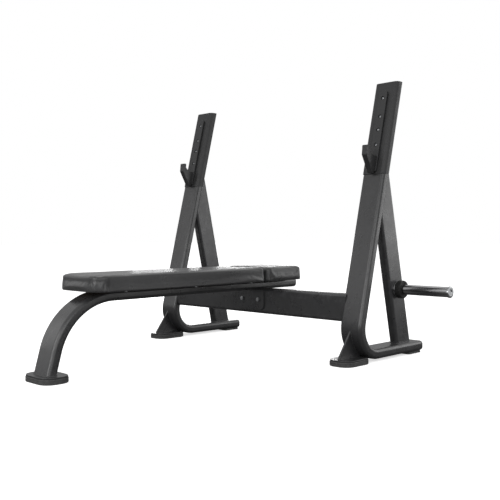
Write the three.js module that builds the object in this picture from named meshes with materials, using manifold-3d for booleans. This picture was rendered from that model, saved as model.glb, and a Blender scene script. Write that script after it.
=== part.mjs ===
// Olympic bench press: a flat bench on a bent-tube leg, joined by a crossbeam to two A-frame uprights.
// Millimetres. +X runs across the bench, -Y is the foot end, +Y is the head end, +Z is up.
// The origin is on the floor, in the middle of the footprint.
import * as THREE from 'three';
import { mergeVertices } from 'three/addons/utils/BufferGeometryUtils.js';
import Module from 'manifold-3d';

const wasm = await Module();
wasm.setup();

// ---------------------------------------------------------------- driving dimensions
const LENGTH = 1600;
const HEIGHT = 1200;
const RACK_X = 592;
const GAP = 0.3;
const BOLT_CLEAR = 0.4;

const FRAME_TUBE = { width: 109, depth: 43, corner: 15, wall: 3 };
const SPINE_TUBE = { width: 108, depth: 42, corner: 15, wall: 3 };
const BEAM_TUBE = { width: 119.5, depth: 50, corner: 14, wall: 3 };

const UPRIGHT_LEAN = THREE.MathUtils.degToRad(14.25);
const UPRIGHT_Y = 297;
const RAIL_BOTTOM = 10.5;
const RAIL_BEND = 113;
const BRACE_LEAN = THREE.MathUtils.degToRad(12.75);
const BRACE_Y = 702;

const BEAM_TOP = 288.5;
const BEAM_Y = 363;

const LEG_LEAN = THREE.MathUtils.degToRad(15.5);
const LEG_BEND = 260;
const LEG_BEND_Y = -474;
const SPINE_BOTTOM = 281.5;
const SPINE_REAR = 605;

const FOOT = { length: 174, width: 118, corner: 48, rubber: 20, plate: 6, edge: 3, plateInset: 2 };
const REAR_FOOT = { length: 104, width: 92, corner: 14, y: 744 };
const UPRIGHT_FOOT_Y = 310;
const GUSSET = { thickness: 8, front: 237, top: 137 };
const CAP = { dome: 11, rim: 2, plug: 22 };

const COVER = { bottom: 796, wall: 3.2, roof: 4, slotTop: 922, slotClear: 1.5 };
const CATCH = { width: 41, proud: 9, bottom: 799, top: 1154, bolts: [1121, 1039, 981, 915] };
const HOOK = {
  width: 26, bury: 6, heel: 12, lipFoot: 413, lipTip: 417, lip: 20, chin: 875, top: 916.5, seat: 874,
};
const CATCH_BOLT = { head: 6.2, headDepth: 4.5, bore: 8, sink: 6, shank: 4, length: 26 };

const HORN = {
  z: 295, radius: 22, wall: 3.5, end: 875, cap: 24.5, capDepth: 7, plug: 20, flange: 38, flangeDepth: 8,
};
const BUMPER = { radius: 39.5, depth: 26 };

const SADDLE = { width: 170, height: 95, corner: 26, thickness: 6, boltX: 52, boltDrop: 46 };
const SADDLE_BOLT = { shank: 6, head: 10, headDepth: 7, nutDepth: 9, tail: 4 };

const PAD = { width: 288, bottom: 324, top: 386.8, front: -618, split: 297, slit: 9, rear: 544 };
const PAD_CORNER = { front: 64, rear: 26, edge: 7, foot: 3 };
const BOARD = { bottom: 327.1, thickness: 15, inset: 22, clearance: 0.5 };
const CROSSBAR = { width: 40, thickness: 3, overhang: 18 };
const CROSSBARS = [
  { at: -456, boltX: 100 }, { at: -98, boltX: 100 }, { at: 235, boltX: 100 }, { at: 402, boltX: 72 },
];
const PAD_BOLT = { shank: 4, head: 6.5, headDepth: 5.3, bite: 10 };

// ---------------------------------------------------------------- values that follow from them
const FRONT = -LENGTH / 2;
const REAR = LENGTH / 2;
const RAIL_TOP = RAIL_BOTTOM + FRAME_TUBE.depth;
const FOOT_TOP = FOOT.rubber + FOOT.plate;
const SPINE_TOP = SPINE_BOTTOM + SPINE_TUBE.depth;
const BEAM_BOTTOM = BEAM_TOP - BEAM_TUBE.width;
const SADDLE_TOP = SPINE_BOTTOM - GAP;
const FAR = 4000;
const OVERRUN = 80;
const ARC_STEPS = 8;
const CORNER_STEPS = 3;

// ---------------------------------------------------------------- finishes
function finish(color, roughness, metalness) {
  return new THREE.MeshStandardMaterial({ color, roughness, metalness });
}

const FRAME_BLACK = [0x3b3c3e, 0.55, 0.35];
const COVER_BLACK = [0x2a2b2d, 0.6, 0.0];
const CATCH_BLACK = [0x303133, 0.5, 0.3];
const PAD_BLACK = [0x2f3032, 0.7, 0.0];
const RUBBER_BLACK = [0x1c1c1d, 0.85, 0.0];
const PLASTIC_BLACK = [0x252628, 0.6, 0.0];
const CHROME = [0xc9ccd0, 0.15, 1.0];
const ZINC = [0xb4b7bb, 0.35, 0.9];
const PLYWOOD = [0x8a6f4d, 0.8, 0.0];

// ---------------------------------------------------------------- solids
function solidOf(geometry) {
  const bare = geometry.index ? geometry.toNonIndexed() : geometry.clone();
  bare.deleteAttribute('normal');
  bare.deleteAttribute('uv');
  const merged = mergeVertices(bare, 1e-3);
  const corners = merged.index.array;
  const kept = [];
  for (let i = 0; i < corners.length; i += 3) {
    const [a, b, c] = [corners[i], corners[i + 1], corners[i + 2]];
    if (a !== b && b !== c && c !== a) {
      kept.push(a, b, c);
    }
  }
  const vertProperties = new Float32Array(merged.attributes.position.array);
  const triVerts = new Uint32Array(kept);
  return new wasm.Manifold(new wasm.Mesh({ numProp: 3, vertProperties, triVerts }));
}

function geometryOf(solid) {
  const { vertProperties, triVerts } = solid.getMesh();
  const geometry = new THREE.BufferGeometry();
  geometry.setAttribute('position', new THREE.BufferAttribute(vertProperties, 3));
  geometry.setIndex(new THREE.BufferAttribute(triVerts, 1));
  geometry.computeVertexNormals();
  return geometry;
}

function block(x0, x1, y0, y1, z0, z1) {
  const geometry = new THREE.BoxGeometry(x1 - x0, y1 - y0, z1 - z0);
  return solidOf(geometry.translate((x0 + x1) / 2, (y0 + y1) / 2, (z0 + z1) / 2));
}

function below(z) {
  return block(-FAR, FAR, -FAR, FAR, -FAR, z);
}

function above(z) {
  return block(-FAR, FAR, -FAR, FAR, z, FAR);
}

// A rectangle w by h with rounded corners, centred on the origin; corner radii may differ front to rear.
function roundedRectangle(w, h, lowRadius, highRadius = lowRadius) {
  const shape = new THREE.Shape();
  const [x, y] = [w / 2, h / 2];
  shape.moveTo(-x + lowRadius, -y);
  shape.absarc(x - lowRadius, -y + lowRadius, lowRadius, -Math.PI / 2, 0);
  shape.absarc(x - highRadius, y - highRadius, highRadius, 0, Math.PI / 2);
  shape.absarc(-x + highRadius, y - highRadius, highRadius, Math.PI / 2, Math.PI);
  shape.absarc(-x + lowRadius, -y + lowRadius, lowRadius, Math.PI, Math.PI * 1.5);
  return shape;
}

function tubeSection({ width, depth, corner, wall }, offset = 0) {
  const grow = 2 * offset;
  return roundedRectangle(width + grow, depth + grow, corner + offset);
}

function hollowSection(tube) {
  const shape = tubeSection(tube);
  shape.holes.push(tubeSection(tube, -tube.wall));
  return shape;
}

// A plan outline raised between two heights.
function prism(shape, z0, z1, curveSegments = CORNER_STEPS) {
  const geometry = new THREE.ExtrudeGeometry(shape, { depth: z1 - z0, bevelEnabled: false, curveSegments });
  return solidOf(geometry.translate(0, 0, z0));
}

// A side outline, drawn as (y, z), given a thickness along X about the plane x = 0.
function sidePlate(shape, thickness, curveSegments) {
  const geometry = new THREE.ExtrudeGeometry(shape, { depth: thickness, bevelEnabled: false, curveSegments });
  const toSide = new THREE.Matrix4().makeBasis(
    new THREE.Vector3(0, 1, 0), new THREE.Vector3(0, 0, 1), new THREE.Vector3(1, 0, 0));
  return solidOf(geometry.applyMatrix4(toSide).translate(-thickness / 2, 0, 0));
}

// A turned piece: profile points are (radius, distance), and the axis leaves the origin along +Y.
function turned(points, steps) {
  return solidOf(new THREE.LatheGeometry(points.map(([r, d]) => new THREE.Vector2(r, d)), steps));
}

function rod(radius, start, end, steps = 12) {
  return turned([[0, start], [radius, start], [radius, end], [0, end]], steps);
}

// ---------------------------------------------------------------- bent tubes
// A path through stations, each a point and a direction in the plane x = 0, used one step per station.
class StationPath extends THREE.Curve {
  constructor(stations) {
    super();
    this.stations = stations;
  }

  at(u) {
    return this.stations[Math.round(u * (this.stations.length - 1))];
  }

  getPointAt(u, target = new THREE.Vector3()) {
    return target.copy(this.at(u).point);
  }

  // The section's own x axis stays along X all the way.
  computeFrenetFrames() {
    const tangents = this.stations.map(({ tangent }) => tangent);
    const normals = tangents.map(() => new THREE.Vector3(1, 0, 0));
    const binormals = tangents.map((tangent, i) => new THREE.Vector3().crossVectors(tangent, normals[i]));
    return { tangents, normals, binormals };
  }
}

function station(y, z, dy, dz) {
  return { point: new THREE.Vector3(0, y, z), tangent: new THREE.Vector3(0, dy, dz) };
}

function arcStations(y, z, radius, from, to) {
  const stations = [];
  for (let i = 0; i <= ARC_STEPS; i += 1) {
    const angle = THREE.MathUtils.lerp(from, to, i / ARC_STEPS);
    const [c, s] = [Math.cos(angle), Math.sin(angle)];
    stations.push(station(y + radius * c, z + radius * s, -s, c));
  }
  return stations;
}

function sweep(shape, stations) {
  const extrudePath = new StationPath(stations);
  const steps = stations.length - 1;
  return solidOf(new THREE.ExtrudeGeometry(shape, { steps, extrudePath, curveSegments: CORNER_STEPS }));
}

// The upright runs down its lean, round the bend and back along the floor rail.
const railLine = RAIL_BOTTOM + FRAME_TUBE.depth / 2;
const bendZ = railLine + RAIL_BEND;
const bendY = UPRIGHT_Y + (RAIL_BEND + bendZ * Math.sin(UPRIGHT_LEAN)) / Math.cos(UPRIGHT_LEAN);
const railEnd = REAR - CAP.dome - CAP.rim - GAP;

function uprightLineY(z) {
  return UPRIGHT_Y + z * Math.tan(UPRIGHT_LEAN);
}

function braceLineY(z) {
  return BRACE_Y - z * Math.tan(BRACE_LEAN);
}

function uprightStations() {
  const top = HEIGHT + OVERRUN;
  const bend = arcStations(bendY, bendZ, RAIL_BEND, Math.PI - UPRIGHT_LEAN, Math.PI * 1.5);
  const start = bend[0].tangent;
  return [station(uprightLineY(top), top, start.y, start.z), ...bend, station(railEnd, railLine, 1, 0)];
}

function spineStations() {
  const z = SPINE_BOTTOM + SPINE_TUBE.depth / 2;
  const rear = SPINE_REAR - CAP.dome - CAP.rim - GAP;
  const bend = arcStations(LEG_BEND_Y, z - LEG_BEND, LEG_BEND, Math.PI / 2, Math.PI - LEG_LEAN);
  const { point, tangent } = bend[bend.length - 1];
  const run = point.z / Math.cos(LEG_LEAN);
  const end = point.clone().addScaledVector(tangent, run);
  return [station(rear, z, -1, 0), ...bend, station(end.y, end.z, tangent.y, tangent.z)];
}

// ---------------------------------------------------------------- frames of reference
// Things fixed to an upright are drawn in its own frame: z along the tube, y square to it, rearwards.
function ontoUpright(solid) {
  const degrees = THREE.MathUtils.radToDeg(-UPRIGHT_LEAN);
  return solid.rotate([degrees, 0, 0]).translate([0, UPRIGHT_Y, 0]);
}

function alongTube(z) {
  return z / Math.cos(UPRIGHT_LEAN);
}

// Turns a piece drawn along +Y so that it points along +X, -X or up.
function towards(solid, direction) {
  const turns = { right: [0, 0, -90], left: [0, 0, 90], up: [90, 0, 0], rear: [0, 0, 0] };
  return solid.rotate(turns[direction]);
}

// ---------------------------------------------------------------- pieces
const group = new THREE.Group();

function add(name, solid, [color, roughness, metalness]) {
  const mesh = new THREE.Mesh(geometryOf(solid), finish(color, roughness, metalness));
  mesh.name = name;
  group.add(mesh);
}

// Drills a hole square to the upright's front face at each bolt of the bar catch.
function drilled(solid, radius, front, rear) {
  let result = solid;
  for (const z of CATCH.bolts) {
    result = result.subtract(ontoUpright(rod(radius, front, rear).translate([0, 0, alongTube(z)])));
  }
  return result;
}

function uprightTube() {
  const tube = sweep(hollowSection(FRAME_TUBE), uprightStations()).subtract(above(HEIGHT - COVER.roof - GAP));
  return drilled(tube, CATCH_BOLT.shank + BOLT_CLEAR, -FRAME_TUBE.depth, 0);
}

function uprightOutside(offset) {
  return sweep(tubeSection(FRAME_TUBE, offset), uprightStations());
}

function rearBrace() {
  const degrees = THREE.MathUtils.radToDeg(BRACE_LEAN);
  const turned90 = { ...FRAME_TUBE, width: FRAME_TUBE.depth, depth: FRAME_TUBE.width };
  const tube = prism(hollowSection(turned90), -100, HEIGHT).rotate([degrees, 0, 0]);
  const rearOfUpright = ontoUpright(block(-FAR, FAR, -FAR, FRAME_TUBE.depth / 2 + GAP, -FAR, FAR));
  return tube.translate([0, BRACE_Y, 0]).subtract(below(RAIL_TOP + GAP)).subtract(rearOfUpright);
}

function rackCover() {
  const reach = alongTube(HEIGHT + OVERRUN);
  const shell = ontoUpright(prism(tubeSection(FRAME_TUBE, GAP + COVER.wall), 0, reach));
  const cavity = ontoUpright(prism(tubeSection(FRAME_TUBE, GAP), 0, reach));
  const half = FRAME_TUBE.depth / 2 + COVER.slotClear;
  const slot = ontoUpright(block(-half, half, 0, FAR, 0, FAR)).subtract(above(COVER.slotTop));
  const outside = shell.subtract(above(HEIGHT)).subtract(below(COVER.bottom));
  const cover = outside.subtract(cavity.subtract(above(HEIGHT - COVER.roof))).subtract(slot);
  return drilled(cover, CATCH_BOLT.shank + BOLT_CLEAR, -FRAME_TUBE.depth, 0);
}

// The hook's side outline as (y, z): a gusseted arm that rises forward to a lip leaning slightly rearwards.
function hookOutline() {
  const { bury, heel, lipFoot, lipTip, lip, chin, top, seat } = HOOK;
  const face = -(FRAME_TUBE.depth / 2 + GAP + COVER.wall + bury) / Math.cos(UPRIGHT_LEAN);
  const root = (z) => uprightLineY(z) + face;
  const round = 6;
  const throat = top - 18;
  const shape = new THREE.Shape();
  shape.moveTo(root(CATCH.bottom), CATCH.bottom);
  shape.lineTo(root(CATCH.bottom) - heel, CATCH.bottom);
  shape.lineTo(lipFoot, chin);
  shape.lineTo(lipTip, top - round);
  shape.quadraticCurveTo(lipTip, top, lipTip + round, top);
  shape.lineTo(lipTip + lip - round, top);
  shape.quadraticCurveTo(lipTip + lip, top, lipTip + lip, top - round);
  shape.lineTo(lipFoot + lip + 2, throat);
  shape.quadraticCurveTo(lipFoot + 2 * lip - 4, seat, root(seat) - 2, seat);
  shape.lineTo(root(seat), seat);
  return shape;
}

function barCatch() {
  const back = -(FRAME_TUBE.depth / 2 + COVER.wall + 2 * GAP);
  const front = back - CATCH.proud;
  const [low, high] = [alongTube(CATCH.bottom), alongTube(CATCH.top)];
  const outline = roundedRectangle(CATCH.width, high - low, 4, 16);
  const flat = prism(outline, 0, CATCH.proud, 4).rotate([90, 0, 0]);
  const strip = ontoUpright(flat.translate([0, back, (low + high) / 2]));
  const solid = strip.add(sidePlate(hookOutline(), HOOK.width, 4));
  const bored = drilled(solid, CATCH_BOLT.shank + BOLT_CLEAR, front - 1, back + 1);
  return drilled(bored, CATCH_BOLT.bore, front - 30, front + CATCH_BOLT.sink);
}

// A button-head screw with a hexagon socket; its head is at the start and its shank runs along +Y.
function socketScrew({ head, headDepth, shank, length }) {
  const profile = [
    [0, 0], [head * 0.6, 0], [head, headDepth * 0.6], [head, headDepth],
    [shank, headDepth], [shank, headDepth + length], [0, headDepth + length],
  ];
  const socket = rod(head * 0.42, -1, headDepth * 0.7, 6);
  return turned(profile, 12).subtract(socket);
}

function hexHead(radius, depth) {
  return rod(radius, 0, depth, 6);
}

function catchScrew(z) {
  const seat = -(FRAME_TUBE.depth / 2 + COVER.wall + 2 * GAP) - CATCH.proud + CATCH_BOLT.sink;
  const start = seat - CATCH_BOLT.headDepth - GAP;
  return ontoUpright(socketScrew(CATCH_BOLT).translate([0, start, alongTube(z)]));
}

function gusset() {
  const outer = RAIL_BEND + FRAME_TUBE.depth / 2 + GAP;
  const from = Math.PI - Math.asin((GUSSET.top - bendZ) / outer);
  const to = Math.PI + Math.asin((bendZ - FOOT_TOP - GAP) / outer);
  const shape = new THREE.Shape();
  shape.moveTo(GUSSET.front, FOOT_TOP + GAP);
  shape.lineTo(GUSSET.front, FOOT_TOP + 6);
  shape.absarc(bendY, bendZ, outer, from, to, false);
  return sidePlate(shape, GUSSET.thickness, 8).subtract(below(FOOT_TOP + GAP));
}

// A moulded rubber foot with a steel plate let into its top edge.
function footPlate(x, y) {
  const inset = FOOT.plateInset;
  const outline = roundedRectangle(x - 2 * inset, y - 2 * inset, FOOT.corner - inset);
  return prism(outline, FOOT.rubber + GAP, FOOT_TOP, 4);
}

function rubberFoot(x, y) {
  const { edge } = FOOT;
  const outline = roundedRectangle(x - 2 * edge, y - 2 * edge, FOOT.corner - edge);
  const geometry = new THREE.ExtrudeGeometry(outline, {
    depth: FOOT.rubber - 2 * edge, bevelThickness: edge, bevelSize: edge, bevelSegments: 1, curveSegments: 4,
  });
  return solidOf(geometry.translate(0, 0, edge));
}

function rearFoot() {
  const outline = roundedRectangle(REAR_FOOT.width, REAR_FOOT.length, REAR_FOOT.corner);
  return prism(outline, 0, RAIL_BOTTOM - GAP);
}

// A domed plastic end cap on a plug; drawn with the tube's mouth at the origin and the dome along +Y.
function endCap(tube) {
  const { dome, rim, plug } = CAP;
  const outline = tubeSection(tube, -dome);
  const cap = new THREE.ExtrudeGeometry(outline, {
    depth: rim, bevelThickness: dome, bevelSize: dome, bevelSegments: 3, curveSegments: CORNER_STEPS,
  });
  const face = solidOf(cap).subtract(below(0));
  const stem = prism(tubeSection(tube, -tube.wall - BOLT_CLEAR), -plug, 1);
  return face.add(stem).rotate([-90, 0, 0]);
}

function beamRun(section) {
  const reach = RACK_X - FRAME_TUBE.width / 2 + FRAME_TUBE.corner;
  const run = prism(section, -reach, reach).rotate([90, 0, 0]).rotate([0, 0, 90]);
  return run.translate([0, BEAM_Y, (BEAM_TOP + BEAM_BOTTOM) / 2]);
}

const BEAM_SECTION = { ...BEAM_TUBE, width: BEAM_TUBE.depth, depth: BEAM_TUBE.width };

// The bench spine and its front leg are one bent tube, coped where it is let into the crossbeam.
function spineTube() {
  const tube = sweep(hollowSection(SPINE_TUBE), spineStations()).subtract(below(FOOT_TOP + GAP));
  return tube.subtract(beamRun(tubeSection(BEAM_SECTION, GAP)));
}

function crossbeam() {
  let beam = beamRun(hollowSection(BEAM_SECTION));
  for (const side of [-1, 1]) {
    beam = beam.subtract(uprightOutside(GAP).translate([side * RACK_X, 0, 0]));
    beam = beam.subtract(saddleRod(side, SADDLE_BOLT.shank + BOLT_CLEAR, -FAR, FAR));
  }
  return beam;
}

// ---------------------------------------------------------------- saddle between the spine and the crossbeam
function saddleRod(side, radius, start, end) {
  return rod(radius, start, end).translate([side * SADDLE.boltX, 0, SADDLE_TOP - SADDLE.boltDrop]);
}

function saddlePlate(front) {
  const outline = roundedRectangle(SADDLE.width, SADDLE.height, SADDLE.corner, 6);
  const flat = prism(outline, 0, SADDLE.thickness, 4).rotate([90, 0, 0]);
  const beamFace = BEAM_Y + (front ? -1 : 1) * (BEAM_TUBE.depth / 2 + GAP);
  const y = front ? beamFace : beamFace + SADDLE.thickness;
  const plate = flat.translate([0, y, SADDLE_TOP - SADDLE.height / 2]);
  const [left, right] = [-1, 1].map((side) => saddleRod(side, SADDLE_BOLT.shank + BOLT_CLEAR, 0, FAR));
  return plate.subtract(left).subtract(right);
}

const SADDLE_GRIP = BEAM_TUBE.depth / 2 + SADDLE.thickness + 2 * GAP;

function saddleBolt(side) {
  const { head, headDepth, shank, nutDepth, tail } = SADDLE_BOLT;
  const start = BEAM_Y - SADDLE_GRIP;
  const end = BEAM_Y + SADDLE_GRIP + nutDepth + tail;
  const bolt = hexHead(head, headDepth).translate([0, start - headDepth, 0]).add(rod(shank, start - 1, end));
  return bolt.translate([side * SADDLE.boltX, 0, SADDLE_TOP - SADDLE.boltDrop]);
}

function saddleNut(side) {
  const { head, shank, nutDepth } = SADDLE_BOLT;
  const nut = hexHead(head, nutDepth).subtract(rod(shank + GAP, -1, nutDepth + 1));
  return nut.translate([side * SADDLE.boltX, BEAM_Y + SADDLE_GRIP, SADDLE_TOP - SADDLE.boltDrop]);
}

// ---------------------------------------------------------------- plate storage horns
const hornStart = RACK_X + FRAME_TUBE.depth / 2 + GAP;

function hornPiece(solid, side) {
  return towards(solid, side > 0 ? 'right' : 'left').translate([0, braceLineY(HORN.z), HORN.z]);
}

function weightHorn(side) {
  const bore = HORN.radius - HORN.wall;
  const mouth = HORN.end - HORN.capDepth - GAP;
  const profile = [
    [0, hornStart], [HORN.flange, hornStart], [HORN.flange, hornStart + HORN.flangeDepth],
    [HORN.radius, hornStart + HORN.flangeDepth], [HORN.radius, mouth], [bore, mouth],
    [bore, hornStart + HORN.flangeDepth], [0, hornStart + HORN.flangeDepth],
  ];
  return hornPiece(turned(profile, 20), side);
}

function hornBumper(side) {
  const start = hornStart + HORN.flangeDepth + GAP;
  const end = start + BUMPER.depth;
  const bore = HORN.radius + GAP;
  const profile = [
    [bore, start], [BUMPER.radius - 3, start], [BUMPER.radius, start + 3], [BUMPER.radius, end - 5],
    [BUMPER.radius - 5, end], [bore, end], [bore, start],
  ];
  return hornPiece(turned(profile, 20), side);
}

function hornEndCap(side) {
  const mouth = HORN.end - HORN.capDepth;
  const plug = HORN.radius - HORN.wall - BOLT_CLEAR;
  const profile = [
    [0, mouth - HORN.plug], [plug, mouth - HORN.plug], [plug, mouth], [HORN.cap, mouth],
    [HORN.cap, HORN.end - 3], [HORN.cap - 3, HORN.end], [10, HORN.end], [7, HORN.end - 3], [0, HORN.end - 3],
  ];
  return hornPiece(turned(profile, 20), side);
}

// ---------------------------------------------------------------- pads
function padPlan(front, rear, frontRadius, rearRadius, inset) {
  const outline = roundedRectangle(
    PAD.width - 2 * inset, rear - front - 2 * inset, frontRadius - inset, rearRadius - inset);
  return { outline, y: (front + rear) / 2 };
}

// A cushion with a rounded top edge and a tighter bottom edge; its rim hangs a little below the board in it.
function padSolid(front, rear, frontRadius, rearRadius) {
  const { edge, foot } = PAD_CORNER;
  const layer = (radius, low, high, bevelSegments) => {
    const { outline, y } = padPlan(front, rear, frontRadius, rearRadius, radius);
    return solidOf(new THREE.ExtrudeGeometry(outline, {
      depth: high - low - 2 * radius, bevelThickness: radius, bevelSize: radius, bevelSegments,
      curveSegments: 5,
    }).translate(0, y, low + radius));
  };
  const middle = PAD.top - edge;
  const crown = layer(edge, middle - 2 * edge, PAD.top, 2).intersect(above(middle));
  const base = layer(foot, PAD.bottom, middle + 2 * foot, 1).subtract(above(middle));
  const cushion = crown.add(base);
  const pocket = padBoard(front, rear, frontRadius, rearRadius, -BOARD.clearance, []);
  return cushion.subtract(pocket).subtract(pocket.translate([0, 0, -BOARD.thickness / 2]));
}

function padBoard(front, rear, frontRadius, rearRadius, clearance, bars) {
  const inset = BOARD.inset + clearance;
  const { outline, y } = padPlan(front, rear, frontRadius, rearRadius, inset);
  const { bottom, thickness } = BOARD;
  let board = prism(outline, bottom, bottom + thickness - clearance, 4).translate([0, y, 0]);
  for (const bar of bars) {
    for (const side of [-1, 1]) {
      board = board.subtract(padRod(side, bar, PAD_BOLT.shank + GAP, 0, bottom + PAD_BOLT.bite + 1));
    }
  }
  return board;
}

function padRod(side, bar, radius, low, high) {
  return towards(rod(radius, low, high, 8), 'up').translate([side * bar.boltX, bar.at, 0]);
}

function crossbar(bar) {
  const low = SPINE_TOP + GAP;
  const plan = roundedRectangle(2 * (bar.boltX + CROSSBAR.overhang), CROSSBAR.width, 8);
  let solid = prism(plan, low, low + CROSSBAR.thickness).translate([0, bar.at, 0]);
  for (const side of [-1, 1]) {
    solid = solid.subtract(padRod(side, bar, PAD_BOLT.shank + BOLT_CLEAR, 0, FAR));
  }
  return solid;
}

function padBolt(side, bar) {
  const low = SPINE_TOP;
  const head = towards(hexHead(PAD_BOLT.head, PAD_BOLT.headDepth), 'up');
  const placed = head.translate([side * bar.boltX, bar.at, low - PAD_BOLT.headDepth]);
  return placed.add(padRod(side, bar, PAD_BOLT.shank, low - 1, BOARD.bottom + PAD_BOLT.bite));
}

// ---------------------------------------------------------------- assembly
add('spine_tube', spineTube(), FRAME_BLACK);
add('spine_rear_cap',
  endCap(SPINE_TUBE).translate([0, SPINE_REAR - CAP.dome - CAP.rim, SPINE_BOTTOM + SPINE_TUBE.depth / 2]),
  PLASTIC_BLACK);
add('crossbeam', crossbeam(), FRAME_BLACK);
const atLeg = [0, FRONT + FOOT.width / 2, 0];
add('front_foot_plate', footPlate(FOOT.length, FOOT.width).translate(atLeg), FRAME_BLACK);
add('front_rubber_foot', rubberFoot(FOOT.length, FOOT.width).translate(atLeg), RUBBER_BLACK);

for (const [label, side] of [['left', -1], ['right', 1]]) {
  const atRack = [side * RACK_X, 0, 0];
  const atFoot = [side * RACK_X, UPRIGHT_FOOT_Y, 0];
  add(`${label}_upright_tube`, uprightTube().translate(atRack), FRAME_BLACK);
  add(`${label}_rear_brace`, rearBrace().translate(atRack), FRAME_BLACK);
  add(`${label}_gusset`, gusset().translate(atRack), FRAME_BLACK);
  const plate = footPlate(FOOT.width, FOOT.length).translate(atFoot);
  add(`${label}_foot_plate`, plate.subtract(uprightOutside(GAP).translate(atRack)), FRAME_BLACK);
  add(`${label}_rubber_foot`, rubberFoot(FOOT.width, FOOT.length).translate(atFoot), RUBBER_BLACK);
  add(`${label}_rear_foot`, rearFoot().translate([side * RACK_X, REAR_FOOT.y, 0]), RUBBER_BLACK);
  add(`${label}_rail_cap`,
    endCap(FRAME_TUBE).translate([side * RACK_X, REAR - CAP.dome - CAP.rim, railLine]), PLASTIC_BLACK);
  add(`${label}_rack_cover`, rackCover().translate(atRack), COVER_BLACK);
  add(`${label}_bar_catch`, barCatch().translate(atRack), CATCH_BLACK);
  CATCH.bolts.forEach((z, i) => {
    add(`${label}_catch_bolt_${i + 1}`, catchScrew(z).translate(atRack), ZINC);
  });
  add(`${label}_weight_horn`, weightHorn(side), CHROME);
  add(`${label}_horn_bumper`, hornBumper(side), RUBBER_BLACK);
  add(`${label}_horn_end_cap`, hornEndCap(side), CHROME);
  add(`${label}_saddle_bolt`, saddleBolt(side), ZINC);
  add(`${label}_saddle_nut`, saddleNut(side), ZINC);
}

add('saddle_front_plate', saddlePlate(true), FRAME_BLACK);
add('saddle_rear_plate', saddlePlate(false), FRAME_BLACK);

const mainPad = [PAD.front, PAD.split - PAD.slit / 2, PAD_CORNER.front, PAD_CORNER.rear];
const headPad = [PAD.split + PAD.slit / 2, PAD.rear, PAD_CORNER.rear, PAD_CORNER.rear];
add('main_pad', padSolid(...mainPad), PAD_BLACK);
add('head_pad', padSolid(...headPad), PAD_BLACK);
add('main_pad_board', padBoard(...mainPad, 0, CROSSBARS.slice(0, 3)), PLYWOOD);
add('head_pad_board', padBoard(...headPad, 0, CROSSBARS.slice(3)), PLYWOOD);

CROSSBARS.forEach((bar, i) => {
  add(`pad_crossbar_${i + 1}`, crossbar(bar), FRAME_BLACK);
  add(`left_pad_bolt_${i + 1}`, padBolt(-1, bar), ZINC);
  add(`right_pad_bolt_${i + 1}`, padBolt(1, bar), ZINC);
});

export default group;
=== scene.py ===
"""Looks of an olympic bench press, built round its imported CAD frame. Metres, +Z up, -Y is the foot end."""
import math

import bmesh
import bpy
from mathutils import Matrix, Vector


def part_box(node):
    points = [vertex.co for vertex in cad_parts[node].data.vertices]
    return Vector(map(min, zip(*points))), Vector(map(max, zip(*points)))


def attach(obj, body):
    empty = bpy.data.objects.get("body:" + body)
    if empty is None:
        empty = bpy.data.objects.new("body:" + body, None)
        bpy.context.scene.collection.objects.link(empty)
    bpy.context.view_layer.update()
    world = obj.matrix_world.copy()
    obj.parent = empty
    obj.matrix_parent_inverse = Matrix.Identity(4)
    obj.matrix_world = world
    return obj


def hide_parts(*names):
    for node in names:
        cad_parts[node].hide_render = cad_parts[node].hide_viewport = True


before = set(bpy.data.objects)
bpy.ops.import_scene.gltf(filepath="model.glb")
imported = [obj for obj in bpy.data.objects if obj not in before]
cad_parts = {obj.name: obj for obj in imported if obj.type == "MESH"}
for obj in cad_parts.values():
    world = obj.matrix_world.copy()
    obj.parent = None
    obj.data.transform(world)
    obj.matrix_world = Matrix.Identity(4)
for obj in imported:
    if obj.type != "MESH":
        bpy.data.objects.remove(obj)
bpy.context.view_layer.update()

# ---------------------------------------------------------------- measures
GAP = 0.0003
UPRIGHT_LEAN = math.radians(14.25)
UPRIGHT_Y = 0.297
RAIL_BEND = 0.113
BRACE_LEAN = math.radians(12.75)
BRACE_Y = 0.702
LEG_LEAN = math.radians(15.5)
LEG_BEND = 0.260
LEG_BEND_Y = -0.474
TUBE_CORNER = 0.015
BEAM_CORNER = 0.014
COVER_WALL = 0.0032
COVER_ROOF = 0.004
COVER_SLOT_TOP = 0.922
CATCH_PROUD = 0.009
CATCH_TOP = 1.154
CATCH_SINK = 0.006
CATCH_SHANK_LENGTH = 0.026
HOOK_WIDTH = 0.026
HORN_RADIUS = 0.022
HORN_WALL = 0.0035
FOOT_CORNER = 0.048
FOOT_PLATE_INSET = 0.002
FOOT_PLATE_THICKNESS = 0.006
REAR_FOOT_CORNER = 0.014
WELD_STEP = 0.0012
PAD_FRONT_CORNER = 0.064
PAD_REAR_CORNER = 0.026
BOARD_INSET = 0.022
BOARD_CLEARANCE = 0.0005
CLOTH_VOXEL = 0.005
STAPLE_REACH = 0.027
PAD_EDGE = 0.007
PAD_FOOT = 0.003
FAR = 4.0


def span(node):
    """Lowest corner, highest corner, middle and size of a CAD node."""
    low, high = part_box(node)
    return low, high, (low + high) / 2, high - low


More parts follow.
